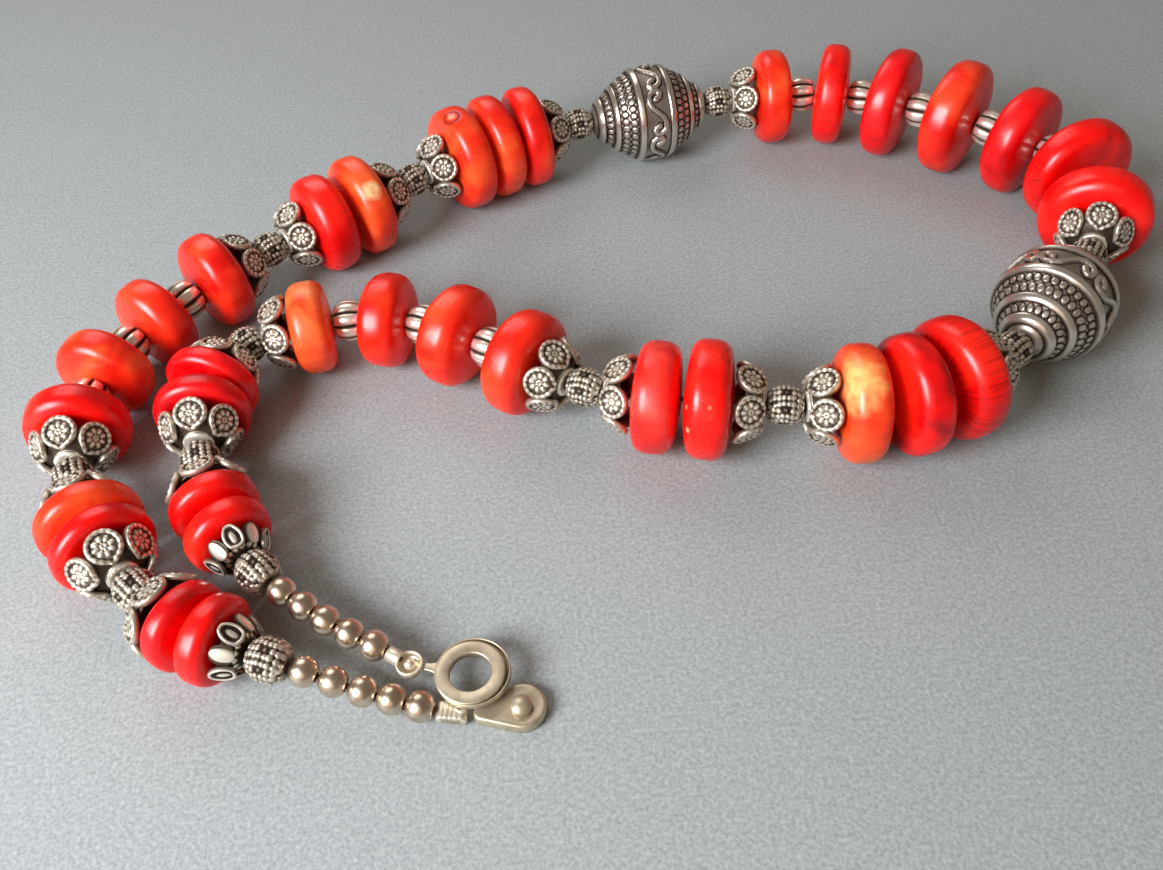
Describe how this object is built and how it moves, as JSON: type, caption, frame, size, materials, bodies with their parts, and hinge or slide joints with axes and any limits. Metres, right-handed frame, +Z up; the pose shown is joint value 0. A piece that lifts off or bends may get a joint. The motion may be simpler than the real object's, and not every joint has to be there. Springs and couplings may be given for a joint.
{
  "type": "coral disc bead necklace",
  "caption": "Open necklace of dyed coral discs strung between antique silver caps, barrels and ribbed spacers, with two large silver beads and a snap clasp of ring and stud.",
  "frame": {"origin": "middle of the outline's box, at the level of the surface that the discs stand on", "axes": "+Z up from the surface, +X across the loop towards its broad bend, +Y away from the clasp's side"},
  "size_m": [0.178, 0.1322, 0.0202],
  "materials": {
    "coral_red": "semi-gloss polished stone, deep red",
    "coral_orange": "semi-gloss polished stone, orange red",
    "antique_silver": "cast silver alloy with dark oxidised recesses",
    "polished_silver": "polished",
    "clasp_metal": "satin sheet metal, pale champagne",
    "thread": "twisted cord"
  },
  "bodies": {
    "root": {"coral_01": "coral_red", "coral_02": "coral_red", "coral_03": "coral_red", "coral_04": "coral_red", "coral_05": "coral_orange", "coral_06": "coral_orange", "coral_07": "coral_red", "coral_08": "coral_orange", "coral_09": "coral_orange", "coral_10": "coral_red", "coral_11": "coral_orange", "coral_12": "coral_red", "coral_13": "coral_red", "coral_14": "coral_red", "coral_15": "coral_red", "coral_16": "coral_red", "coral_17": "coral_orange", "coral_18": "coral_red", "coral_19": "coral_red", "coral_20": "coral_orange", "coral_21": "coral_orange", "coral_22": "coral_red", "coral_23": "coral_orange", "coral_24": "coral_orange", "coral_25": "coral_red", "coral_26": "coral_orange", "coral_27": "coral_red", "coral_28": "coral_orange", "coral_29": "coral_red", "coral_30": "coral_orange", "coral_31": "coral_red", "coral_32": "coral_red", "coral_33": "coral_red", "large_bead_1": "antique_silver", "large_bead_2": "antique_silver", "scroll_caps": "antique_silver", "lotus_caps": "antique_silver", "barrel_beads": "antique_silver", "melon_beads": "antique_silver", "round_beads": "polished_silver", "thread": "thread", "bead_tip": "clasp_metal", "folded_crimp": "clasp_metal", "clasp_ring": "clasp_metal", "stud_plate": "clasp_metal"}
  },
  "joints": []
}
